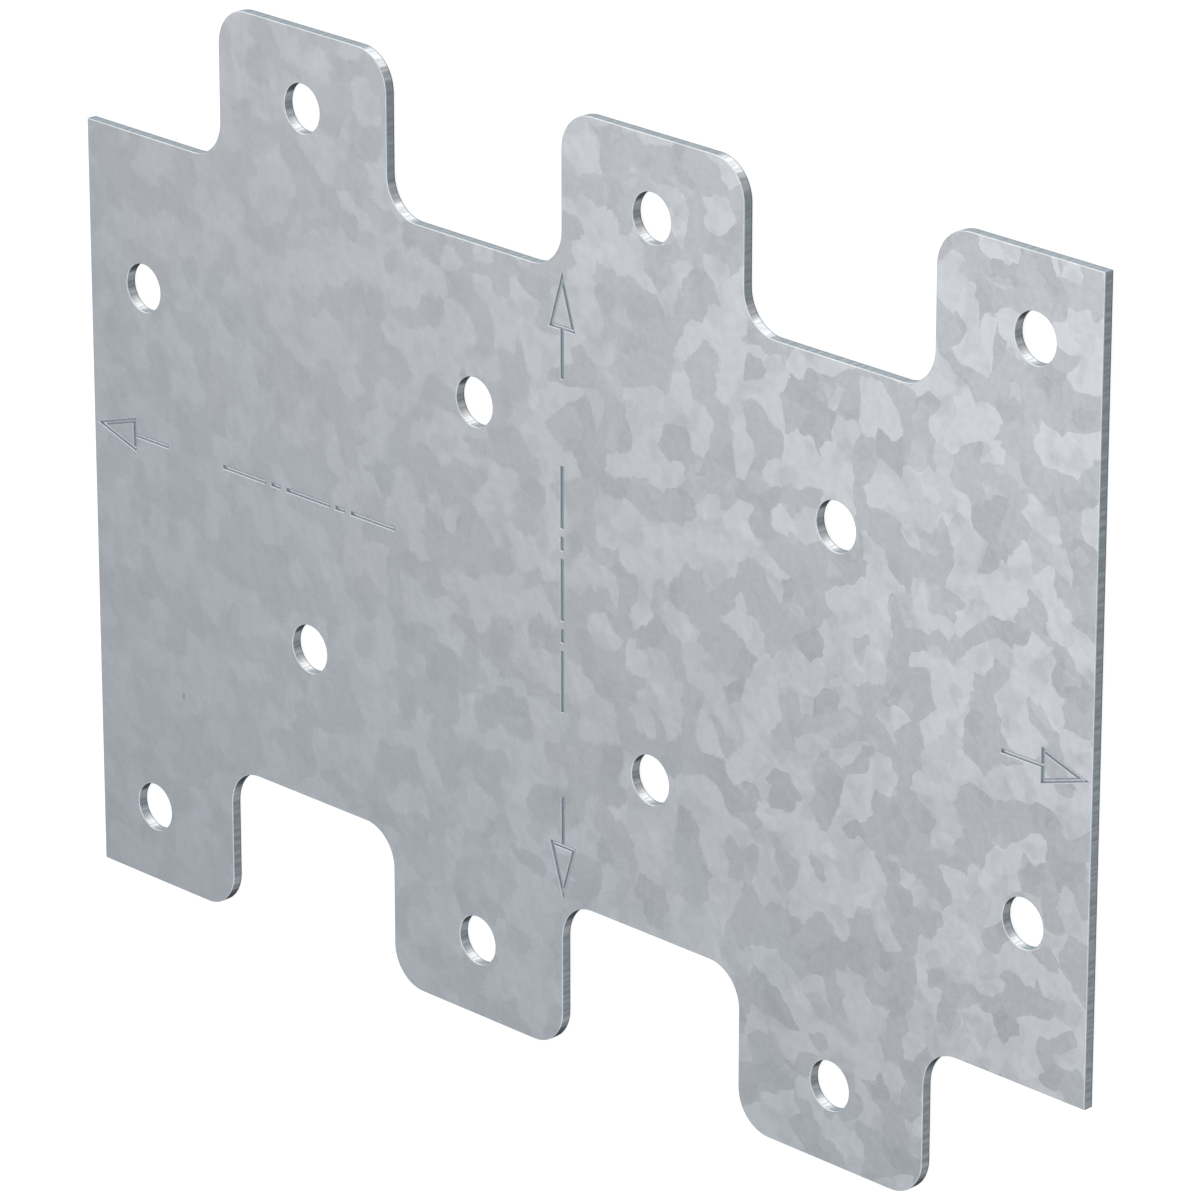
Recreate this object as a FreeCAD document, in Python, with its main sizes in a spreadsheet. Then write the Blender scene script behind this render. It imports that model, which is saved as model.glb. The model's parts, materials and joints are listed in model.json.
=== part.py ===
"""Lateral tie plate: one flat piece of galvanised sheet steel that ties two timber members together.

Both long edges are notched into tabs with rounded corners, and the two ends are sheared straight. A nail
hole is punched in the middle of each tab and below the middle of each notch, so the holes stand in evenly
spaced columns. Half a turn about the plate's centre gives the same outline.

The back face lies on the XY plane with its centre at the origin, the length runs along X, and the front
face, whose edges the punch has rolled over, looks along +Z.
"""

import FreeCAD, Part
import os
import Sketcher

NODE = "tie_plate"
SHEET = "Dimensions"

# Driving dimensions in millimetres, and one count
DIMENSIONS = {
    "plate_length": 107.95,        # 4 1/4 in between the sheared ends
    "plate_width": 76.2,           # 3 in over the tips of the tabs
    "tab_height": 12.7,            # 1/2 in from the floor of a notch to the tip of a tab
    "tab_width": 19.05,            # 3/4 in between the side walls of a tab
    "tab_corner_radius": 3.175,    # 1/8 in at the tip of a tab
    "notch_corner_radius": 3.175,  # 1/8 in at the floor of a notch
    "stations_per_edge": 3,        # pairs of a notch and a tab along one long edge
    "nail_hole_diameter": 3.969,   # 5/32 in
    "nail_end_margin": 6.35,       # 1/4 in from the outermost holes to the plate's end
    "nail_tip_margin": 6.35,       # 1/4 in from the hole in a tab to the tab's tip
    "inner_row_offset": 12.7,      # 1/2 in from the centre line to the holes below the notches
    "sheet_thickness": 0.84,       # 20 gauge galvanised sheet
    "edge_roll": 0.1,              # bevel along the front edges, for the rounding that the punch leaves
}

# Places worked out from the driving dimensions
OUTER_COLUMN = f"({SHEET}.plate_length / 2 - {SHEET}.nail_end_margin)"
COLUMN_SPACING = f"(2 * {OUTER_COLUMN} / (2 * {SHEET}.stations_per_edge - 1))"
NOTCH_WIDTH = f"(2 * {COLUMN_SPACING} - {SHEET}.tab_width)"
NOTCH_FLOOR = f"({SHEET}.plate_width / 2 - {SHEET}.tab_height)"
TAB_ROW = f"({SHEET}.plate_width / 2 - {SHEET}.nail_tip_margin)"
PATTERN_LENGTH = f"(2 * {COLUMN_SPACING} * ({SHEET}.stations_per_edge - 1))"

# Sketcher's numbers for the origin point and for the ends and centre of a curve
ORIGIN = (-1, 1)
START, END, CENTRE = 1, 2, 3

# The size that sketched curves have until their dimensions are tied to the sheet
ROUGH_SIZE = 10

PLACE_TOLERANCE = 0.001


def add_sheet(doc):
    """Write each driving dimension into a cell of its own, with its name as the alias."""
    sheet = doc.addObject("Spreadsheet::Sheet", SHEET)
    for row, (name, value) in enumerate(DIMENSIONS.items(), start=1):
        sheet.set(f"A{row}", name)
        sheet.set(f"B{row}", str(value))
        sheet.setAlias(f"B{row}", name)
    doc.recompute()
    return sheet


def origin_feature(body, role):
    """Find the plane or axis of the body's own origin that has this role."""
    return next(feature for feature in body.Origin.OriginFeatures if feature.Role == role)


def add_sketch(body, name):
    """Start a sketch on the plane of the plate's back face."""
    sketch = body.newObject("Sketcher::SketchObject", name)
    sketch.AttachmentSupport = (origin_feature(body, "XY_Plane"), [""])
    sketch.MapMode = "FlatFace"
    return sketch


def bind(sketch, name, expression, kind, *points):
    """Add a dimension of this kind between points of the sketch and tie it to the sheet."""
    number = sketch.addConstraint(Sketcher.Constraint(kind, *points, ROUGH_SIZE))
    sketch.renameConstraint(number, name)
    sketch.setExpression(f"Constraints.{name}", expression)


def add_rectangle(sketch):
    """Draw a rectangle as its bottom, right, top and left sides, numbered 0 to 3."""
    turns = ((0, 0), (1, 0), (1, 1), (0, 1))
    corners = [FreeCAD.Vector(x * ROUGH_SIZE, y * ROUGH_SIZE) for x, y in turns]
    for side in range(4):
        sketch.addGeometry(Part.LineSegment(corners[side], corners[(side + 1) % 4]))
        sketch.addConstraint(Sketcher.Constraint("Horizontal" if side % 2 == 0 else "Vertical", side))
    for side in range(4):
        sketch.addConstraint(Sketcher.Constraint("Coincident", side, END, (side + 1) % 4, START))


def add_blank(body):
    """The flat blank, centred on the origin."""
    sketch = add_sketch(body, "blank_outline")
    add_rectangle(sketch)
    sketch.addConstraint(Sketcher.Constraint("Symmetric", 0, START, 2, START, *ORIGIN))
    bind(sketch, "length", f"{SHEET}.plate_length", "DistanceX", 0, START, 0, END)
    bind(sketch, "width", f"{SHEET}.plate_width", "DistanceY", 1, START, 1, END)
    blank = body.newObject("PartDesign::Pad", "blank")
    blank.Profile = sketch
    blank.setExpression("Length", f"{SHEET}.sheet_thickness")
    body.Document.recompute()


def add_punch(body, sketch, name):
    """Punch the sketch's outline right through the plate, from the back face towards the front."""
    before = body.Tip.Shape.Volume
    punch = body.newObject("PartDesign::Pocket", name)
    punch.Profile = sketch
    punch.Type = "ThroughAll"
    punch.Reversed = True
    body.Document.recompute()
    if not punch.Shape.Volume < before:
        raise RuntimeError(f"{name} cuts nothing")
    return punch


def add_notch(body):
    """The first notch of the upper edge, square-cornered, open past the tips by a tab's height."""
    sketch = add_sketch(body, "notch_outline")
    add_rectangle(sketch)
    bind(sketch, "width", NOTCH_WIDTH, "DistanceX", 0, START, 0, END)
    bind(sketch, "right_wall", f"{OUTER_COLUMN} - {NOTCH_WIDTH} / 2", "DistanceX", 0, END, *ORIGIN)
    bind(sketch, "floor", NOTCH_FLOOR, "DistanceY", *ORIGIN, 0, START)
    bind(sketch, "reach", f"2 * {SHEET}.tab_height", "DistanceY", 1, START, 1, END)
    return add_punch(body, sketch, "notch")


def add_nail_holes(body):
    """The nail hole below the first notch of the upper edge, and the one in the tab beside it."""
    sketch = add_sketch(body, "nail_hole_outlines")
    places = (
        ("inner", OUTER_COLUMN, f"{SHEET}.inner_row_offset"),
        ("tab", f"{OUTER_COLUMN} - {COLUMN_SPACING}", TAB_ROW),
    )
    for hole, (name, column, row) in enumerate(places):
        rough_centre = FreeCAD.Vector(0, hole * ROUGH_SIZE)
        sketch.addGeometry(Part.Circle(rough_centre, FreeCAD.Vector(0, 0, 1), ROUGH_SIZE))
        bind(sketch, f"{name}_column", column, "DistanceX", hole, CENTRE, *ORIGIN)
        bind(sketch, f"{name}_row", row, "DistanceY", *ORIGIN, hole, CENTRE)
        bind(sketch, f"{name}_diameter", f"{SHEET}.nail_hole_diameter", "Diameter", hole)
    return add_punch(body, sketch, "nail_holes")


def repeat_stations(body, features):
    """Repeat the punched features along the upper edge, then turn them half round for the lower edge."""
    stations = body.newObject("PartDesign::MultiTransform", "stations")
    stations.Originals = features
    along = body.newObject("PartDesign::LinearPattern", "stations_along_edge")
    along.Direction = (origin_feature(body, "X_Axis"), [""])
    along.setExpression("Length", PATTERN_LENGTH)
    along.setExpression("Occurrences", f"{SHEET}.stations_per_edge")
    around = body.newObject("PartDesign::PolarPattern", "both_edges")
    around.Axis = (origin_feature(body, "Z_Axis"), [""])
    around.Angle = 360
    around.Occurrences = 2
    stations.Transformations = [along, around]
    body.Tip = stations
    body.Document.recompute()


def dress(body, kind, name, elements, size, dimension):
    """Round or bevel the named edges, or all edges of the named face, of the plate as it stands."""
    base = body.Tip
    dressing = body.newObject(f"PartDesign::{kind}", name)
    dressing.Base = (base, elements)
    dressing.setExpression(size, f"{SHEET}.{dimension}")
    body.Document.recompute()


def corner_edges(shape, level, half_length):
    """Name the upright edges that stand at this distance from the centre line, without the plate's ends."""
    names = []
    for number, edge in enumerate(shape.Edges, start=1):
        middle = edge.CenterOfMass
        upright = edge.BoundBox.ZLength > max(edge.BoundBox.XLength, edge.BoundBox.YLength)
        at_level = abs(abs(middle.y) - level) < PLACE_TOLERANCE
        if upright and at_level and abs(middle.x) < half_length - PLACE_TOLERANCE:
            names.append(f"Edge{number}")
    return names


def front_face(shape):
    """Name the flat face that looks along +Z."""
    heights = [face.CenterOfMass.z for face in shape.Faces]
    return f"Face{heights.index(max(heights)) + 1}"


def build_plate(doc, sheet):
    """Punch the plate from its blank, round its corners and bevel its front edges."""
    body = doc.addObject("PartDesign::Body", NODE)
    body.Label = NODE
    add_blank(body)
    notch = add_notch(body)
    nail_holes = add_nail_holes(body)
    repeat_stations(body, [notch, nail_holes])
    half_length = sheet.plate_length / 2
    tip = sheet.plate_width / 2
    floor = tip - sheet.tab_height
    floor_corners = corner_edges(body.Tip.Shape, floor, half_length)
    dress(body, "Fillet", "notch_corners", floor_corners, "Radius", "notch_corner_radius")
    tip_corners = corner_edges(body.Tip.Shape, tip, half_length)
    dress(body, "Fillet", "tab_corners", tip_corners, "Radius", "tab_corner_radius")
    dress(body, "Chamfer", "edge_bevel", [front_face(body.Tip.Shape)], "Size", "edge_roll")
    return body


def check(doc, body):
    """Stop if any object of the document failed or the plate isn't one valid solid."""
    failed = [item.Name for item in doc.Objects if {"Invalid", "Error"} & set(item.State)]
    if failed:
        raise RuntimeError("failed: " + ", ".join(failed))
    if body.Shape.isNull() or not body.Shape.isValid() or len(body.Shape.Solids) != 1:
        raise RuntimeError(f"{body.Label} is not one valid solid")


def main():
    doc = FreeCAD.newDocument("lateral_tie_plate")
    sheet = add_sheet(doc)
    body = build_plate(doc, sheet)
    check(doc, body)
    os.makedirs("parts", exist_ok=True)
    body.Shape.exportStep(f"parts/{body.Label}.step")
    print(f"{body.Label}: {body.Shape.Volume:.2f} mm3, {len(body.Shape.Faces)} faces")


main()
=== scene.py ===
"""Lateral tie plate in galvanised sheet: its finished surface, its studio light and the photo's camera.

The plate is one closed skin in the place of the CAD node. Its sheared edges are a profile carried along the
outline and round each nail hole, its stamped signs are grooves whose walls are a profile carried along their
contours, and what is left of the two flat faces is filled between them. Lengths are in metres; sizes are
written as millimetres times MM.
"""

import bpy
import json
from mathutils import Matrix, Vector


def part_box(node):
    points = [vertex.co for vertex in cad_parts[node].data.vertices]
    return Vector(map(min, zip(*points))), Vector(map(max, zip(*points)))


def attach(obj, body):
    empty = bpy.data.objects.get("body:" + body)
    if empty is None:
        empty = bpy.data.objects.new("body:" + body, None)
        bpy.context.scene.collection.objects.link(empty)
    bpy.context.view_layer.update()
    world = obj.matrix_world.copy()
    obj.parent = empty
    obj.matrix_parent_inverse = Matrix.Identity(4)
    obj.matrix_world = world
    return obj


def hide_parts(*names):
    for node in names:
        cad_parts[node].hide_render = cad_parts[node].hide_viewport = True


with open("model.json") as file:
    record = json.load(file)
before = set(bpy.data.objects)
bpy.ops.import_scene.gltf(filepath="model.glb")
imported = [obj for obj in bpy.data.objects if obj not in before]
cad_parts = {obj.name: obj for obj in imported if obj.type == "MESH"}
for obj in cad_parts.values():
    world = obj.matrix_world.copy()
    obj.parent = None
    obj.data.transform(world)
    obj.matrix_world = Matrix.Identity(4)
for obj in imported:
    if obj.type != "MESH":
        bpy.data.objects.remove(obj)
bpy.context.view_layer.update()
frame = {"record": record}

import json
import math

import bpy
import numpy as np
from mathutils import Matrix, Vector
from mathutils.geometry import delaunay_2d_cdt

MM = 0.001

# The plate's own sizes, from the frame where it gives them
LOW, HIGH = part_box("tie_plate")
HALF_LENGTH = HIGH.x
TIP = HIGH.y
THICKNESS = HIGH.z - LOW.z
NAIL_HOLES = [mount for mount in frame["record"]["mounts"] if mount["kind"] == "bore"]
HOLE_CENTRES = np.array([hole["pos_m"][:2] for hole in NAIL_HOLES])
HOLE_RADIUS = NAIL_HOLES[0]["dims"]["r_mm"] * MM
TAB_HEIGHT = 12.7 * MM
TAB_WIDTH = 19.05 * MM
CORNER_RADIUS = 3.175 * MM
NOTCH_FLOOR = TIP - TAB_HEIGHT
TAB_CENTRES = sorted(x for x, y in HOLE_CENTRES if y > NOTCH_FLOOR)

# The sheared edge, from the front face down to the back face
ROLL = 0.06 * MM             # radius that the punch rolls over the front edge
ROLL_STEPS = 5
BURNISHED = 0.45             # share of the thickness that the punch leaves smooth, below the front face
BREAK_INSET = 0.012 * MM     # how far the broken part of the wall leans in at the back face
BREAK_WAVE = 0.03 * MM       # how far the line between smooth and broken wanders up and down
BREAK_ROUGHNESS = 0.006 * MM  # how far the broken part's own surface wanders in and out
BREAK_BEND = 0.45            # share of the break line's height at which the broken part has a ring of its own
BREAK_BEND_INSET = 0.7       # share of the whole inset that it has there
BACK_SHADE_HEIGHT = 0.12 * MM      # painted shade: a darker band along the back face
BACK_SHADE_FADE = 0.4              # share of that height at which the band begins to fade
WANDER_SEED = 7
RUN_STEP = 0.6 * MM          # along straight edges
ARC_STEPS = 14               # of each rounded corner
HOLE_STEPS = 72              # round each nail hole

# Numbers of the four finishes in the plate's list of materials
FACE_FINISH, EDGE_FINISH, GROOVE_FINISH, ROLL_FINISH = 0, 1, 2, 3

# The stamped signs: grooves with rounded lips, sloping walls and a small hollow at the foot of each wall
GROOVE_WIDTH = 0.44 * MM     # between the outer edges of its lips
GROOVE_DEPTH = 0.23 * MM
GROOVE_LIP = 0.1 * MM        # radius from the face over to the wall
GROOVE_HOLLOW = 0.08 * MM    # radius from the wall to the floor
GROOVE_LEAN = math.radians(17.0)  # of its walls from the upright
GROOVE_STEPS = 5             # of each of the two radii
GROOVE_LENGTH_STEP = 1.5 * MM
ARROW_END_GAP = 0.215 * MM   # from an end arrow's tip to the sheared end
ARROW_EDGE_REACH = 0.165 * MM  # from the line of the notch floors on to an edge arrow's tip
ARROW_HEAD = 4.815 * MM
ARROW_HALF_WIDTH = 1.488 * MM
ARROW_LENGTH = 8.715 * MM
STAMP_SHIFT = np.array([0.04, -0.01]) * MM  # how far the arrows were struck off the centre lines

# The chain line on each centre line: long and short dashes by turns
LONG_DASH = 5.1 * MM
SHORT_DASH = 1.2 * MM
DASH_GAP = 0.575 * MM

# How the flat faces are filled
TRIANGLES_INSIDE = 1         # delaunay_2d_cdt's number for triangles inside the given loops only
SAME_PLACE = 1e-6            # how near, in millimetres, it takes two points for one

# The photo's camera, placed from the plate's centre; the plate's +Y is up in the picture
CAMERA_PLACE = Vector((380.07, 200.66, 368.44)) * MM
CAMERA_TARGET = Vector((3.69, 0.116, 0.42)) * MM
CAMERA_LENS = 224.4
CAMERA_SENSOR = 36.0
CAMERA_NEAR = 0.01
CAMERA_FAR = 20.0

# The studio: dim all round, with soft-edged fields of light, and one dark card, round the plate. Each has the
# axis towards its middle, its inner and outer angles in degrees, its brightness and its colour. Faces, rolls
# and lips mirror the fields whose axes rise, and upright walls mirror the rest
NEUTRAL = (1.0, 1.0, 1.0)
COOL = (0.87, 1.0, 1.11)
SURROUNDING = 0.22
STUDIO_FIELDS = (
    ((-0.386, 0.012, 0.922), 26.1, 38.1, 0.95, NEUTRAL),
    ((-0.65, 0.58, 0.49), 12.0, 31.0, 0.85, NEUTRAL),
    ((0.65, -0.36, 0.67), 25.0, 60.0, 0.2, COOL),
    ((0.6, 0.55, 0.58), 20.0, 50.0, 0.35, NEUTRAL),
    ((0.7, -0.66, 0.27), 6.0, 26.0, 0.5, NEUTRAL),
    ((0.0, -0.72, 0.69), 10.0, 28.0, 0.4, NEUTRAL),
    ((-0.45, -0.8, 0.4), 6.0, 26.0, 0.35, NEUTRAL),
    ((0.1, 0.97, 0.2), 8.0, 26.0, 0.3, NEUTRAL),
    ((-0.04, 0.756, -0.653), 8.0, 38.0, 1.8, NEUTRAL),
    ((0.545, 0.526, -0.653), 10.0, 35.0, 0.35, NEUTRAL),
    ((0.702, 0.284, -0.653), 2.0, 8.0, 0.3, NEUTRAL),
    ((-0.667, 0.354, -0.656), 20.0, 45.0, 0.53, COOL),
    ((0.668, -0.355, -0.656), 25.0, 55.0, 0.2, COOL),
    ((0.401, -0.642, -0.653), 8.0, 25.0, 0.27, NEUTRAL),
    ((-0.354, -0.667, -0.656), 25.0, 60.0, -0.15, COOL),
)

# The weak softbox over the plate
OVERHEAD_PLACE = Vector((-0.1, 0.0, 0.8))
OVERHEAD_SIZE = 0.4
OVERHEAD_POWER = 0.02

# The table under the plate
FLOOR_REACH = 4.0
FLOOR_GAP = 0.01 * MM        # between the table and the plate's back face
FLOOR_PAINT = (0.5, 0.5, 0.5, 1.0)
FLOOR_ROUGHNESS = 0.9
FLOOR_GLOW = 0.76

# The zinc's crystals. Their node group counts in millimetres of the plan, and so do the values here
NOISE_MIDDLE = (0.5, 0.5, 0.5)  # mean of a noise node's three values
CRYSTAL_SIZE = 1.9
SMALL_CRYSTAL_SIZE = 1.3
SMALL_CRYSTAL_SHIFT = (57.1, 83.9, 0.0)

# The light and the dark flakes: the shift and the scale of the noise that picks them, the level that it has
# to pass, the crystals' random value that is added to it, and how far the flakes raise or lower the tone
FLAKES = (
    ((0.0, 0.0, 0.0), 0.265, 0.595, "Red", 0.49),
    ((31.7, 12.3, 0.0), 0.29, 0.672, "Green", -0.16),
)
FLAKE_CHANCE = 0.19          # share of the random value that is added
FLAKE_EDGE = 0.015           # half the span of the noise over which a flake's border rises

# Directions of painted light over the plate: towards them the crystals are painted bolder, and the zinc
# lighter and less blue
BOLDER_TOWARDS = (1.0, 0.2, 0.0)
PAINTED_LIGHT_TOWARDS = (0.35, 1.0, 0.0)
LESS_PAINTED_BLUE_TOWARDS = (0.42, 0.65, 0.0)

# Reflectance of the finishes, with the tints and the stain that the faces' is multiplied by
DULL_ZINC = (0.448, 0.457, 0.469, 1.0)
BRIGHT_ZINC = (0.729, 0.735, 0.756, 1.0)
# the blue tint is partly painted cool light, leaning to the lower left, and partly a random drift
BLUE_TINT = (0.98, 1.0, 1.013, 1.0)
PLAIN_TINT = (1.012, 1.0, 0.996, 1.0)
STAIN = (0.72, 0.72, 0.66, 1.0)
# painted shade: the grooves' zinc is darker than the faces' for the shade in them, and drifts at random
# between these two
SHADED_GROOVE_ZINC = (0.545, 0.57, 0.6, 1.0)
PALER_SHADED_GROOVE_ZINC = (0.63, 0.655, 0.68, 1.0)
ROLLED_ZINC = (0.84, 0.845, 0.85, 1.0)
BURNISHED_ZINC = (0.955, 0.96, 0.965, 1.0)
DARK_STEEL = (0.385, 0.387, 0.39, 1.0)
SMEARED_ZINC = (0.538, 0.54, 0.543, 1.0)
# painted shade of the band along the back face
PAINTED_BACK_SHADE = (0.208, 0.21, 0.213, 1.0)

# Roughness of each finish where it is dullest, and of all of them where they are smoothest
DULL_FACE = 0.345
DULL_GROOVE = 0.33
DULL_ROLL = 0.33
DULL_EDGE = 0.36
SMOOTHEST = 0.285

# Fine relief of the finishes
FACE_RIPPLE = 0.008 * MM
SCORE_DEPTH = 0.03 * MM
SCORES_ALONG = 2.6 / MM      # score marks for each metre along the sheared edge
SCORES_ACROSS = 0.25 / MM    # and across it, so that they are long this way

# A small stain on the front face near its lower left corner
STAIN_PLACE = (-43.8 * MM, -21.0 * MM, THICKNESS)
STAIN_HALF_SIZE = (0.24 * MM, 0.42 * MM, 0.3 * MM)


def left_of(directions):
    """Each direction turned a quarter to the left, which is the side that the steel isn't on."""
    return np.stack([-directions[..., 1], directions[..., 0]], axis=-1)


def outline_corners():
    """Corners of the plate's outline with their radii, the way round that keeps the steel on the right.

    The upper edge runs along a notch floor, up a tab's left wall, along its tip and down its right wall, tab
    after tab, and the last tab ends with the plate. The lower edge is the upper one turned half round."""
    upper = [(-HALF_LENGTH, NOTCH_FLOOR, 0.0)]
    for centre in TAB_CENTRES:
        left = centre - TAB_WIDTH / 2
        right = centre + TAB_WIDTH / 2
        upper += [(left, NOTCH_FLOOR, CORNER_RADIUS), (left, TIP, CORNER_RADIUS)]
        if right < HALF_LENGTH:
            upper += [(right, TIP, CORNER_RADIUS), (right, NOTCH_FLOOR, CORNER_RADIUS)]
    upper.append((HALF_LENGTH, TIP, 0.0))
    upper = np.array(upper)
    return np.vstack([upper, upper * (-1, -1, 1)])


def rounded_path(corners, run_step=RUN_STEP):
    """Closed path round some corners: its points, and the wall's normals just before and after each.

    A rounded corner is a right angle, and becomes a quarter arc about a centre that lies one radius to the
    side it turns to. A sharp one, of any angle, is a single point where the two normals differ. Straight runs
    between them are cut into equal steps."""
    points, radii = corners[:, :2], corners[:, 2]
    leaving = np.roll(points, -1, axis=0) - points
    leaving /= np.linalg.norm(leaving, axis=1, keepdims=True)
    arriving = np.roll(leaving, 1, axis=0)
    side = np.sign(arriving[:, 0] * leaving[:, 1] - arriving[:, 1] * leaving[:, 0])
    starts = points - arriving * radii[:, None]
    ends = points + leaving * radii[:, None]
    places, before, after = [], [], []
    for corner, radius in enumerate(radii):
        first, last = left_of(arriving[corner]), left_of(leaving[corner])
        if radius > 0:
            share = np.linspace(0.0, math.pi / 2, ARC_STEPS + 1)[:, None]
            normals = np.cos(share) * first + np.sin(share) * last
            centre = starts[corner] + side[corner] * radius * first
            places.append(centre - side[corner] * radius * normals)
            before.append(normals)
            after.append(normals)
        else:
            places.append(points[corner][None])
            before.append(first[None])
            after.append(last[None])
        target = starts[(corner + 1) % len(radii)]
        steps = max(1, round(float(np.linalg.norm(target - ends[corner])) / run_step))
        share = np.linspace(0.0, 1.0, steps + 1)[1:-1, None]
        places.append(ends[corner] * (1 - share) + target * share)
        before.append(np.repeat(last[None], len(share), axis=0))
        after.append(before[-1])
    return np.vstack(places), np.vstack(before), np.vstack(after)


def hole_path(centre):
    """Circle round a nail hole, with the steel on the right and normals towards the hole's axis."""
    angles = np.arange(HOLE_STEPS) * (2 * math.pi / HOLE_STEPS)
    outward = np.stack([np.cos(angles), np.sin(angles)], axis=1)
    return centre + HOLE_RADIUS * outward, -outward, -outward


def wander(distance, rng, waves=9, longest=7.0 * MM, shortest=0.9 * MM):
    """A smooth wandering value along a path, about -1 to 1.

    It is a sum of sines of seeded phases, whose lengths shrink by even ratios and whose heights fall from 1
    for the longest to 0.4 for the shortest."""
    lengths = np.geomspace(longest, shortest, waves)
    phases = rng.uniform(0.0, 2 * math.pi, waves)
    turns = distance[:, None] * (2 * math.pi / lengths) + phases
    return np.sin(turns) @ np.linspace(1.0, 0.4, waves) / math.sqrt(waves)


class Skin:
    """Vertices, faces, face-corner normals, edge coordinates and material numbers of one growing mesh."""

    def __init__(self):
        self.points, self.faces, self.normals, self.runs, self.finishes = [], [], [], [], []
        self.count = 0

    def add_points(self, points):
        """Add a block of points; gives their numbers."""
        numbers = np.arange(self.count, self.count + len(points))
        self.points.append(points)
        self.count += len(points)
        return numbers

    def add_faces(self, faces, normals, runs, finish):
        """Add a block of faces of one finish, with a normal and an edge coordinate for each corner."""
        self.faces.append(faces)
        self.normals.append(normals.reshape(-1, 3))
        self.runs.append(runs.reshape(-1, 2))
        self.finishes.append(np.full(len(faces), finish))


def lift(flat, height):
    """Points of the plan at one height or at a height each."""
    return np.column_stack([flat, np.broadcast_to(height, len(flat))])


def carry_profile(skin, path, insets, heights, tilts, finishes):
    """A profile carried along a closed path; gives the rings' numbers, from the front one down.

    A ring's point stands its inset inside the path, along the mitre of the two normals there, at its own
    height; either is one value for the whole path or a value for each point. Each strip's normals lean up
    from the level by its tilt at its upper and at its lower ring."""
    places, before, after = path
    insets = [np.broadcast_to(inset, len(places)) for inset in insets]
    heights = [np.broadcast_to(height, len(places)) for height in heights]
    mitre = (before + after) / (1 + np.sum(before * after, axis=1, keepdims=True))
    distance = path_distance(places)
    here = np.arange(len(places))
    ahead = np.roll(here, -1)
    rings = [skin.add_points(lift(places - inset[:, None] * mitre, height))
             for inset, height in zip(insets, heights)]
    for strip, ((upper_tilt, lower_tilt), finish) in enumerate(zip(tilts, finishes)):
        top, bottom = rings[strip], rings[strip + 1]
        top_height, bottom_height = heights[strip], heights[strip + 1]
        faces = np.column_stack([top[here], top[ahead], bottom[ahead], bottom[here]])
        leaning = [(after[here], upper_tilt), (before[ahead], upper_tilt),
                   (before[ahead], lower_tilt), (after[here], lower_tilt)]
        normals = np.stack([lift(flat * math.cos(tilt), math.sin(tilt)) for flat, tilt in leaning], axis=1)
        runs = np.stack([
            np.column_stack([distance[:-1], top_height[here]]),
            np.column_stack([distance[1:], top_height[ahead]]),
            np.column_stack([distance[1:], bottom_height[ahead]]),
            np.column_stack([distance[:-1], bottom_height[here]]),
        ], axis=1)
        skin.add_faces(faces, normals, runs, finish)
    return rings


def path_distance(places):
    """Distance along a closed path at each point, and once more at the first, after the whole way round."""
    steps = np.linalg.norm(np.roll(places, -1, axis=0) - places, axis=1)
    return np.concatenate([[0.0], np.cumsum(steps)])


def quarter_turn(radius, steps):
    """Insets, heights and tilts of a quarter circle from the front face over to the wall."""
    angles = np.linspace(math.pi / 2, 0.0, steps + 1)
    insets = list(radius * (1 - np.cos(angles)))
    heights = list(THICKNESS - radius * (1 - np.sin(angles)))
    return insets, heights, list(zip(angles[:-1], angles[1:]))


def edge_band(skin, path, rng):
    """The sheared edge along a path; gives the numbers of its front and back rings.

    Its profile turns over the roll, which has a finish of its own, as a quarter circle, goes straight down
    the smooth part and leans in over the broken part, whose top line and surface wander along the path."""
    distance = path_distance(path[0])[:-1]
    break_line = THICKNESS * (1 - BURNISHED) + BREAK_WAVE * wander(distance, rng)
    rough = BREAK_ROUGHNESS * wander(distance, rng, waves=7, longest=3.0 * MM, shortest=0.8 * MM)
    insets, heights, tilts = quarter_turn(ROLL, ROLL_STEPS)
    insets += [0.0, BREAK_INSET * BREAK_BEND_INSET + rough, BREAK_INSET]
    heights += [break_line, break_line * BREAK_BEND, 0.0]
    lean = -math.atan2(BREAK_INSET, THICKNESS * (1 - BURNISHED))
    wall_tilts = [(0.0, 0.0), (lean, lean), (lean, lean)]
    tilts += wall_tilts
    finishes = [ROLL_FINISH] * ROLL_STEPS + [EDGE_FINISH] * len(wall_tilts)
    rings = carry_profile(skin, path, insets, heights, tilts, finishes)
    return rings[0], rings[-1]


def groove_wall(skin, contour):
    """The wall of a stamped groove along a contour; gives the numbers of its rings at the lip and the foot.

    The contour is the lip's edge and has the groove on its left. The wall's profile is an arc over the lip, a
    straight slope and a hollow arc into the floor."""
    path = rounded_path(np.column_stack([contour, np.zeros(len(contour))]), run_step=GROOVE_LENGTH_STEP)
    lip = np.linspace(math.pi / 2, GROOVE_LEAN, GROOVE_STEPS + 1)
    hollow = lip[::-1]
    lip_insets = -GROOVE_LIP * np.cos(lip)
    lip_heights = THICKNESS - GROOVE_LIP * (1 - np.sin(lip))
    hollow_heights = THICKNESS - GROOVE_DEPTH + GROOVE_HOLLOW * (1 - np.sin(hollow))
    foot = lip_insets[-1] - (lip_heights[-1] - hollow_heights[0]) * math.tan(GROOVE_LEAN)
    hollow_insets = foot - GROOVE_HOLLOW * (math.cos(GROOVE_LEAN) - np.cos(hollow))
    insets = np.concatenate([lip_insets, hollow_insets])
    heights = np.concatenate([lip_heights, hollow_heights])
    angles = np.concatenate([lip, hollow])
    tilts = list(zip(angles[:-1], angles[1:]))
    rings = carry_profile(skin, path, insets, heights, tilts, [GROOVE_FINISH] * len(tilts))
    return rings[0], rings[-1]


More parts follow.
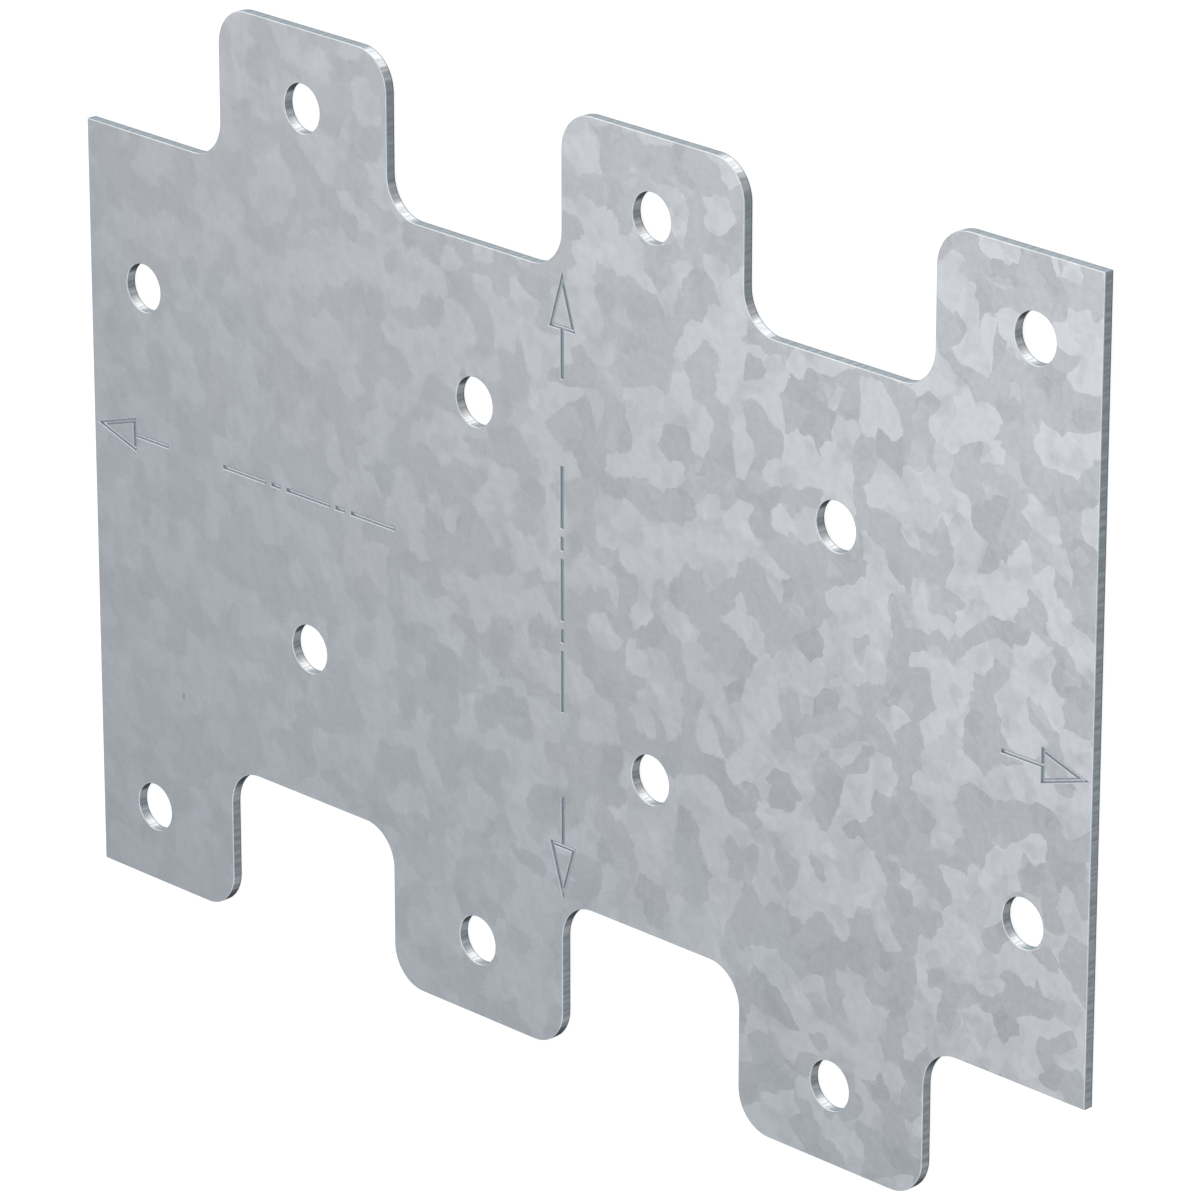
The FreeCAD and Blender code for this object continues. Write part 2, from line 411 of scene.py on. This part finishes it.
def arrow_contours(tip, direction):
    """Outer contour of an arrow, a triangle with a shaft, and the contour of the island in its head.

    The island's sides stand one groove's width inside the triangle's."""
    direction = np.array(direction)
    across = left_of(direction)

    def place(back, sideways):
        return tip - direction * back + across * sideways

    half = GROOVE_WIDTH / 2
    slant = math.hypot(ARROW_HEAD, ARROW_HALF_WIDTH)
    island_tip = GROOVE_WIDTH * slant / ARROW_HALF_WIDTH
    island_base = ARROW_HEAD - GROOVE_WIDTH
    island_half = (island_base - island_tip) * ARROW_HALF_WIDTH / ARROW_HEAD
    outer = [place(0, 0), place(ARROW_HEAD, ARROW_HALF_WIDTH), place(ARROW_HEAD, half),
             place(ARROW_LENGTH, half), place(ARROW_LENGTH, -half),
             place(ARROW_HEAD, -half), place(ARROW_HEAD, -ARROW_HALF_WIDTH)]
    island = [place(island_tip, 0), place(island_base, -island_half), place(island_base, island_half)]
    return np.array(outer), np.array(island)


def chain_contours(centre, direction):
    """Contours of a chain line's dashes, long and short by turns, centred on a point."""
    centre, direction = np.array(centre), np.array(direction)
    across = left_of(direction) * GROOVE_WIDTH / 2
    dashes = [LONG_DASH, SHORT_DASH, LONG_DASH, SHORT_DASH, LONG_DASH]
    reach = sum(dashes) + DASH_GAP * (len(dashes) - 1)
    starts = np.cumsum([0.0] + [dash + DASH_GAP for dash in dashes[:-1]]) - reach / 2
    contours = []
    for start, dash in zip(starts, dashes):
        first, last = centre + direction * start, centre + direction * (start + dash)
        contours.append(np.array([first - across, last - across, last + across, first + across]))
    return contours


def stamp_signs(skin):
    """Two arrows and a chain line on each centre line; gives the rings that they cut in the front face."""
    edge_tip = NOTCH_FLOOR + ARROW_EDGE_REACH
    end_tip = HALF_LENGTH - ARROW_END_GAP
    openings = []
    for tip, direction in (((0, edge_tip), (0, 1)), ((0, -edge_tip), (0, -1)),
                           ((end_tip, 0), (1, 0)), ((-end_tip, 0), (-1, 0))):
        outer, island = arrow_contours(tip + STAMP_SHIFT, direction)
        rim, floor_rim = groove_wall(skin, outer)
        island_rim, island_foot = groove_wall(skin, island)
        fill_face(skin, floor_rim, [island_foot], upward=True)
        fill_face(skin, island_rim, [], upward=True)
        openings.append(rim)
    for centre, direction in (((0, 0), (0, -1)), ((TAB_CENTRES[0], 0), (-1, 0))):
        for contour in chain_contours(centre, direction):
            rim, floor_rim = groove_wall(skin, contour)
            fill_face(skin, floor_rim, [], upward=True)
            openings.append(rim)
    return openings


def to_the_left(points, ring):
    """A ring of point numbers, turned round if it runs clockwise as seen from the front."""
    plan = points[ring, :2]
    ahead = np.roll(plan, -1, axis=0)
    area = np.sum(plan[:, 0] * ahead[:, 1] - plan[:, 1] * ahead[:, 0])
    return ring if area > 0 else ring[::-1]


def fill_face(skin, outline, openings, upward):
    """The flat face between an outline and its openings, as triangles on the rings' own points.

    A triangle is kept if it lies in the outline, which is loop 0, and in no other loop."""
    points = np.concatenate(skin.points)
    rings = [to_the_left(points, ring) for ring in [outline] + openings]
    numbers = np.concatenate(rings)
    ends = np.cumsum([len(ring) for ring in rings])
    loops = [list(range(end - len(ring), end)) for ring, end in zip(rings, ends)]
    plan = [Vector(place) for place in points[numbers, :2] / MM]
    made = delaunay_2d_cdt(plan, [], loops, TRIANGLES_INSIDE, SAME_PLACE)
    _, _, triangles, point_sources, _, loops_round = made
    kept = np.array([triangle for triangle, around in zip(triangles, loops_round) if around == [0]])
    sources = np.array([source[0] for source in point_sources])
    faces = numbers[sources[kept]]
    spans = points[faces[:, 1:], :2] - points[faces[:, :1], :2]
    turned = spans[:, 0, 0] * spans[:, 1, 1] - spans[:, 0, 1] * spans[:, 1, 0]
    wrong = (turned > 0) != upward
    faces[wrong] = faces[wrong][:, ::-1]
    normals = np.zeros((len(faces), 3, 3))
    normals[..., 2] = 1.0 if upward else -1.0
    skin.add_faces(faces, normals, np.zeros((len(faces), 3, 2)), FACE_FINISH)


def tie_plate(materials):
    """The whole plate as one closed skin: edge bands, stamped signs, and the two faces filled between.

    The materials come in the order of the finishes' numbers."""
    rng = np.random.default_rng(WANDER_SEED)
    skin = Skin()
    front, back = edge_band(skin, rounded_path(outline_corners()), rng)
    hole_rings = [edge_band(skin, hole_path(centre), rng) for centre in HOLE_CENTRES]
    signs = stamp_signs(skin)
    fill_face(skin, front, [rings[0] for rings in hole_rings] + signs, upward=True)
    fill_face(skin, back, [rings[1] for rings in hole_rings], upward=False)

    mesh = bpy.data.meshes.new("galvanised_plate")
    faces = [face for block in skin.faces for face in block.tolist()]
    mesh.from_pydata(np.concatenate(skin.points), [], faces)
    mesh.uv_layers.new(name="edge_run").uv.foreach_set("vector", np.concatenate(skin.runs).ravel())
    for material in materials:
        mesh.materials.append(material)
    mesh.polygons.foreach_set("material_index", np.concatenate(skin.finishes).astype(np.int32))
    mesh.shade_smooth()
    mesh.normals_split_custom_set(np.concatenate(skin.normals))
    mesh.update()
    plate = bpy.data.objects.new("galvanised_plate", mesh)
    bpy.context.scene.collection.objects.link(plate)
    return plate


def add_node(tree, kind, inputs=None, **settings):
    """A shader node with its settings, and with each named or numbered input set or linked."""
    node = tree.nodes.new(kind)
    for name, value in settings.items():
        setattr(node, name, value)
    for name, value in (inputs or {}).items():
        if isinstance(value, bpy.types.NodeSocket):
            tree.links.new(value, node.inputs[name])
        else:
            node.inputs[name].default_value = value
    return node


def math_node(tree, operation, first, second=0.0, third=0.0):
    """The value of one arithmetic node."""
    return add_node(tree, "ShaderNodeMath", {0: first, 1: second, 2: third}, operation=operation).outputs[0]


def new_material(name):
    """An empty node material with its output and a metal Principled shader."""
    material = bpy.data.materials.new(name)
    material.use_nodes = True
    tree = material.node_tree
    tree.nodes.clear()
    shader = add_node(tree, "ShaderNodeBsdfPrincipled", {"Metallic": 1.0})
    add_node(tree, "ShaderNodeOutputMaterial", {"Surface": shader.outputs["BSDF"]})
    return material, tree, shader


def add_group(name, inputs, outputs):
    """An empty shader node group with its named value and vector sockets."""
    group = bpy.data.node_groups.new(name, "ShaderNodeTree")
    for socket, kind in inputs:
        group.interface.new_socket(socket, in_out="INPUT", socket_type=kind)
    for socket, kind in outputs:
        group.interface.new_socket(socket, in_out="OUTPUT", socket_type=kind)
    return group, group.nodes.new("NodeGroupInput").outputs, group.nodes.new("NodeGroupOutput").inputs


def vector_math(tree, operation, *vectors):
    """The vector that one vector-arithmetic node gives."""
    return add_node(tree, "ShaderNodeVectorMath", dict(enumerate(vectors)), operation=operation).outputs[0]


def reach_along(tree, place, direction):
    """How far a place or a direction reaches along another direction: the dot product of the two."""
    product = add_node(tree, "ShaderNodeVectorMath", {0: place, 1: direction}, operation="DOT_PRODUCT")
    return product.outputs["Value"]


def noise(tree, place, scale, detail=0.0):
    """Soft noise in the plan, scale being its number of lumps for each unit of the place."""
    return add_node(tree, "ShaderNodeTexNoise", {"Vector": place, "Scale": scale, "Detail": detail},
                    noise_dimensions="2D")


def remap(tree, value, low, high, to_low=0.0, to_high=1.0):
    """A smooth step of a value between two limits, from one result to another."""
    limits = {"Value": value, "From Min": low, "From Max": high, "To Min": to_low, "To Max": to_high}
    return add_node(tree, "ShaderNodeMapRange", limits, interpolation_type="SMOOTHSTEP").outputs[0]


def warped(tree, place, scale, reach):
    """A place pushed about by soft noise of the given scale, by up to half the reach each way."""
    push = vector_math(tree, "SUBTRACT", noise(tree, place, scale, 1.0).outputs["Color"], NOISE_MIDDLE)
    return vector_math(tree, "MULTIPLY_ADD", push, (reach, reach, 0.0), place)


def crystals_of(tree, place, size):
    """Zinc crystals of one size, as Voronoi cells: each one's middle and its own three random values."""
    cells = add_node(tree, "ShaderNodeTexVoronoi", {"Vector": place, "Scale": 1 / size},
                     voronoi_dimensions="2D")
    chances = add_node(tree, "ShaderNodeSeparateColor", {0: cells.outputs["Color"]}).outputs
    return cells.outputs["Position"], chances


def spangle_group():
    """Zinc crystals in the plan, in millimetres: tone, tint and grain, all from about 0 to 1.

    The tone is a clouded middle grey. Crystals whose middles lie where a soft noise is high are lighter on
    it, and those picked by a second noise are darker, so neighbours join to flakes of many shapes. The places
    are warped first, so that borders curve, and a fine noise feathers them, most of all towards the left. A
    slow noise lets flakes fade at some sides, and a few small crystals lie between them."""
    tree, inputs, outputs = add_group(
        "zinc_spangle",
        [("Place", "NodeSocketVector")],
        [("Tone", "NodeSocketFloat"), ("Tint", "NodeSocketFloat"), ("Grain", "NodeSocketFloat")])
    plain = inputs["Place"]
    place = warped(tree, warped(tree, plain, 0.15, 2.6), 0.65, 1.15)
    feather = remap(tree, noise(tree, plain, 0.2, 1.0).outputs["Fac"], 0.38, 0.68, 0.04, 0.2)
    blur = remap(tree, reach_along(tree, plain, BOLDER_TOWARDS), -50.0, 45.0, 0.9, 0.0)
    feather = math_node(tree, "ADD", feather, blur)
    fringe = vector_math(tree, "SUBTRACT", noise(tree, plain, 9.0).outputs["Color"], NOISE_MIDDLE)
    place = vector_math(tree, "MULTIPLY_ADD", fringe, feather, place)
    middle, chances = crystals_of(tree, place, CRYSTAL_SIZE)
    tone = remap(tree, noise(tree, plain, 0.16, 2.0).outputs["Fac"], 0.3, 0.7, 0.33, 0.42)
    for shift, scale, level, chance, strength in FLAKES:
        field = noise(tree, vector_math(tree, "ADD", middle, shift), scale, 0.6).outputs["Fac"]
        field = math_node(tree, "MULTIPLY_ADD", chances[chance], FLAKE_CHANCE, field)
        mask = remap(tree, field, level - FLAKE_EDGE, level + FLAKE_EDGE)
        drift = noise(tree, vector_math(tree, "ADD", plain, shift), 0.4, 1.0).outputs["Fac"]
        fade = remap(tree, drift, 0.3, 0.5, 0.5 * strength, strength)
        tone = math_node(tree, "MULTIPLY_ADD", mask, fade, tone)
    small_place = vector_math(tree, "ADD", place, SMALL_CRYSTAL_SHIFT)
    small = crystals_of(tree, small_place, SMALL_CRYSTAL_SIZE)[1]["Red"]
    tone = math_node(tree, "MULTIPLY_ADD", remap(tree, small, 0.92, 0.95), 0.18, tone)
    tone = math_node(tree, "MULTIPLY_ADD", remap(tree, small, 0.05, 0.08, 1.0, 0.0), -0.14, tone)
    mottle = noise(tree, plain, 1.6, 2.0).outputs["Fac"]
    tone = math_node(tree, "ADD", tone, remap(tree, mottle, 0.25, 0.75, -0.07, 0.07))
    tree.links.new(tone, outputs["Tone"])
    tree.links.new(noise(tree, plain, 0.12, 1.0).outputs["Fac"], outputs["Tint"])
    tree.links.new(noise(tree, plain, 4.0, 3.0).outputs["Fac"], outputs["Grain"])
    return tree


def plan_place(tree):
    """The place on the plate in millimetres, with the height left out."""
    coordinates = add_node(tree, "ShaderNodeTexCoord").outputs["Object"]
    scaled = add_node(tree, "ShaderNodeMapping", {"Vector": coordinates, "Scale": (1 / MM, 1 / MM, 0.0)})
    return scaled.outputs[0]


def mixed_colour(tree, share, first, second, blend="MIX"):
    """A colour between two others, or the first one blended with the second by its share."""
    return add_node(tree, "ShaderNodeMix", {0: share, 6: first, 7: second}, data_type="RGBA",
                    blend_type=blend).outputs[2]


def stain_mask(tree):
    """The small stain on the front face: 1 in its middle, falling to 0 at the ends of its half sizes."""
    coordinates = add_node(tree, "ShaderNodeTexCoord").outputs["Object"]
    away = vector_math(tree, "SUBTRACT", coordinates, STAIN_PLACE)
    away = vector_math(tree, "DIVIDE", away, STAIN_HALF_SIZE)
    reach = add_node(tree, "ShaderNodeVectorMath", {0: away}, operation="LENGTH").outputs["Value"]
    return remap(tree, reach, 0.3, 1.0, 1.0, 0.0)


def galvanised_face(spangle):
    """Zinc coat of the two faces.

    Its crystals are painted bolder towards the right, and it is painted brighter and less blue towards the
    upper right: painted light from how the light fell, with the blue also drifting at random. A fine grain
    lies over it, weaker where the zinc is bright, and so does the small stain."""
    material, tree, shader = new_material("galvanised_face")
    place = plan_place(tree)
    crystals = add_node(tree, "ShaderNodeGroup", node_tree=spangle)
    tree.links.new(place, crystals.inputs["Place"])
    # painted light: the crystals' contrast is raised towards the right, where the light showed them most
    painted_contrast = remap(tree, reach_along(tree, place, BOLDER_TOWARDS), -50.0, 62.0, 0.35, 0.94)
    # painted light: the zinc is painted lighter towards the upper right, where the light fell brighter
    brightness = remap(tree, reach_along(tree, place, PAINTED_LIGHT_TOWARDS), -10.0, 52.0, 0.485, 0.66)
    tone = math_node(tree, "SUBTRACT", crystals.outputs["Tone"], 0.5)
    tone = math_node(tree, "MULTIPLY_ADD", tone, painted_contrast, brightness)
    grain = math_node(tree, "SUBTRACT", crystals.outputs["Grain"], 0.5)
    grain_depth = math_node(tree, "MULTIPLY_ADD", tone, -0.28, 0.36)
    grained = math_node(tree, "MULTIPLY_ADD", grain, grain_depth, tone)
    zinc = mixed_colour(tree, grained, DULL_ZINC, BRIGHT_ZINC)
    drift = math_node(tree, "MULTIPLY_ADD", crystals.outputs["Tint"], 0.8, -0.4)
    # partly painted light: the zinc is painted bluer towards the lower left, where cool light fell; the tint
    # noise also drifts it at random
    plainness = remap(tree, reach_along(tree, place, LESS_PAINTED_BLUE_TOWARDS), -30.0, 8.0)
    plainness = math_node(tree, "ADD", plainness, drift)
    tint = mixed_colour(tree, plainness, BLUE_TINT, PLAIN_TINT)
    zinc = mixed_colour(tree, 1.0, zinc, tint, "MULTIPLY")
    zinc = mixed_colour(tree, stain_mask(tree), zinc, STAIN, "MULTIPLY")
    tree.links.new(zinc, shader.inputs["Base Color"])
    tree.links.new(remap(tree, grained, 0.0, 1.0, DULL_FACE, SMOOTHEST), shader.inputs["Roughness"])
    ripple = noise(tree, place, 0.7, 2.0).outputs["Fac"]
    bump = add_node(tree, "ShaderNodeBump", {"Strength": 1.0, "Distance": FACE_RIPPLE, "Height": ripple})
    tree.links.new(bump.outputs[0], shader.inputs["Normal"])
    return material


def stamped_groove(spangle):
    """Zinc on the walls of the stamped signs, painted darker than the faces as painted shade in the grooves.
    """
    material, tree, shader = new_material("stamped_groove")
    crystals = add_node(tree, "ShaderNodeGroup", node_tree=spangle)
    tree.links.new(plan_place(tree), crystals.inputs["Place"])
    groove_drift = crystals.outputs["Tint"]
    # painted shade: the groove walls are painted darker than the faces
    tree.links.new(mixed_colour(tree, groove_drift, SHADED_GROOVE_ZINC, PALER_SHADED_GROOVE_ZINC), shader.inputs["Base Color"])
    tree.links.new(remap(tree, groove_drift, 0.2, 0.8, DULL_GROOVE, SMOOTHEST), shader.inputs["Roughness"])
    return material


def rolled_edge(spangle):
    """Zinc that the punch has burnished where it rolls the faces' edges over, brighter than the faces."""
    material, tree, shader = new_material("rolled_edge")
    crystals = add_node(tree, "ShaderNodeGroup", node_tree=spangle)
    tree.links.new(plan_place(tree), crystals.inputs["Place"])
    tone = crystals.outputs["Tone"]
    tree.links.new(mixed_colour(tree, tone, ROLLED_ZINC, BURNISHED_ZINC), shader.inputs["Base Color"])
    tree.links.new(remap(tree, tone, 0.0, 1.0, DULL_ROLL, SMOOTHEST), shader.inputs["Roughness"])
    return material


def sheared_edge():
    """Steel and smeared zinc of the punched walls, scored across the sheet, with painted shade in a band
    along the back.
    """
    material, tree, shader = new_material("sheared_edge")
    run = add_node(tree, "ShaderNodeUVMap", uv_map="edge_run").outputs[0]
    score_place = vector_math(tree, "MULTIPLY", run, (SCORES_ALONG, SCORES_ACROSS, 1.0))
    scores = noise(tree, score_place, 1.0, 4.0).outputs["Fac"]
    spread = remap(tree, scores, 0.3, 0.7)
    height = add_node(tree, "ShaderNodeSeparateXYZ", {0: run}).outputs["Y"]
    # painted shade: the walls are painted darker in a band along the back face
    back_shade = remap(tree, height, BACK_SHADE_HEIGHT * BACK_SHADE_FADE, BACK_SHADE_HEIGHT, 1.0, 0.0)
    steel = mixed_colour(tree, spread, DARK_STEEL, SMEARED_ZINC)
    tree.links.new(mixed_colour(tree, back_shade, steel, PAINTED_BACK_SHADE), shader.inputs["Base Color"])
    tree.links.new(remap(tree, spread, 0.0, 1.0, DULL_EDGE, SMOOTHEST), shader.inputs["Roughness"])
    bump = add_node(tree, "ShaderNodeBump", {"Strength": 1.0, "Distance": SCORE_DEPTH, "Height": scores})
    tree.links.new(bump.outputs[0], shader.inputs["Normal"])
    return material


def add_camera():
    """The photo's camera: it looks from its place to the target, with the plate's +Y upwards."""
    forward = (CAMERA_TARGET - CAMERA_PLACE).normalized()
    right = forward.cross(Vector((0, 1, 0))).normalized()
    up = right.cross(forward)
    data = bpy.data.cameras.new("photo_camera")
    data.lens = CAMERA_LENS
    data.sensor_width = CAMERA_SENSOR
    data.clip_start = CAMERA_NEAR
    data.clip_end = CAMERA_FAR
    camera = bpy.data.objects.new("photo_camera", data)
    turn = Matrix((right, up, -forward)).transposed().to_4x4()
    camera.matrix_world = Matrix.Translation(CAMERA_PLACE) @ turn
    bpy.context.scene.collection.objects.link(camera)
    bpy.context.scene.camera = camera


def add_softbox():
    """A square softbox over the plate, turned to face its centre."""
    data = bpy.data.lights.new("overhead", "AREA")
    data.shape = "SQUARE"
    data.size = OVERHEAD_SIZE
    data.energy = OVERHEAD_POWER
    light = bpy.data.objects.new("overhead", data)
    light.location = OVERHEAD_PLACE
    light.rotation_euler = (-OVERHEAD_PLACE).to_track_quat("-Z", "Y").to_euler()
    bpy.context.scene.collection.objects.link(light)


def add_floor():
    """A plain white lit table just under the plate's back face.

    The plate doesn't mirror it, and it casts no shadow, so light from below reaches the upright walls."""
    level = LOW.z - FLOOR_GAP
    turns = ((-1, -1), (1, -1), (1, 1), (-1, 1))
    corners = [(x * FLOOR_REACH, y * FLOOR_REACH, level) for x, y in turns]
    mesh = bpy.data.meshes.new("floor")
    mesh.from_pydata(corners, [], [(0, 1, 2, 3)])
    material = bpy.data.materials.new("floor_paint")
    material.use_nodes = True
    shader = material.node_tree.nodes["Principled BSDF"]
    shader.inputs["Base Color"].default_value = FLOOR_PAINT
    shader.inputs["Roughness"].default_value = FLOOR_ROUGHNESS
    shader.inputs["Specular IOR Level"].default_value = 0.0
    shader.inputs["Emission Color"].default_value = (1.0, 1.0, 1.0, 1.0)
    shader.inputs["Emission Strength"].default_value = FLOOR_GLOW
    mesh.materials.append(material)
    floor = bpy.data.objects.new("floor", mesh)
    floor.visible_glossy = False
    floor.visible_shadow = False
    bpy.context.scene.collection.objects.link(floor)


def add_world():
    """The studio round the plate: an even dim surrounding with soft-edged fields added to it.

    A field's brightness is a smooth step of the cosine of the angle from its axis, from nothing at its outer
    angle to its full strength at its inner one. The dark card's is below nothing."""
    world = bpy.data.worlds.new("studio")
    world.use_nodes = True
    tree = world.node_tree
    direction = add_node(tree, "ShaderNodeTexCoord").outputs["Generated"]
    light = [SURROUNDING * share for share in COOL]
    for axis, inner, outer, brightness, colour in STUDIO_FIELDS:
        nearness = reach_along(tree, direction, Vector(axis).normalized())
        rim = math.cos(math.radians(outer))
        core = math.cos(math.radians(inner))
        field = remap(tree, nearness, rim, core, 0.0, brightness)
        light = vector_math(tree, "MULTIPLY_ADD", field, colour, light)
    tree.links.new(light, tree.nodes["Background"].inputs["Color"])
    bpy.context.scene.world = world


add_camera()
add_floor()
add_world()
add_softbox()
bpy.context.scene.view_settings.view_transform = "Standard"

spangle = spangle_group()
finishes = [galvanised_face(spangle), sheared_edge(), stamped_groove(spangle), rolled_edge(spangle)]
plate = tie_plate(finishes)
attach(plate, "root")
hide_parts("tie_plate")
